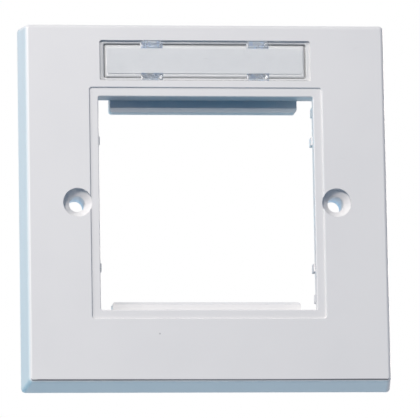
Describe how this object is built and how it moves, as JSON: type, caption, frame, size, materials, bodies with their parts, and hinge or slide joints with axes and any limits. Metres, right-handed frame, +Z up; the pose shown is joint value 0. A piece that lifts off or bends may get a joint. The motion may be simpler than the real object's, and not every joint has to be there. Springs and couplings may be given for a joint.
{
  "type": "module faceplate",
  "caption": "Square white moulded wall faceplate with a bevelled edge, an open aperture for clip-in modules, countersunk fixing holes and a label pocket under a clear push-in cover.",
  "frame": {"origin": "midway between the two fixing holes, on the wall plane", "axes": "+Z up as fixed on the wall, +X to the right seen from the front, +Y into the wall, so the front face looks along -Y"},
  "size_m": [0.086, 0.01, 0.086],
  "materials": {
    "white_moulding": "white moulding with a soft gloss",
    "clear_moulding": "clear polished moulding",
    "blank_card": "uncoated white paper"
  },
  "bodies": {
    "plate": {"faceplate": "white_moulding", "label_card": "blank_card"},
    "cover": {"label_cover": "clear_moulding"}
  },
  "joints": [
    {"name": "cover_pull", "type": "slide", "parent": "plate", "child": "cover", "axis": [0, -1, 0], "range_m": [0, 0.01]}
  ]
}
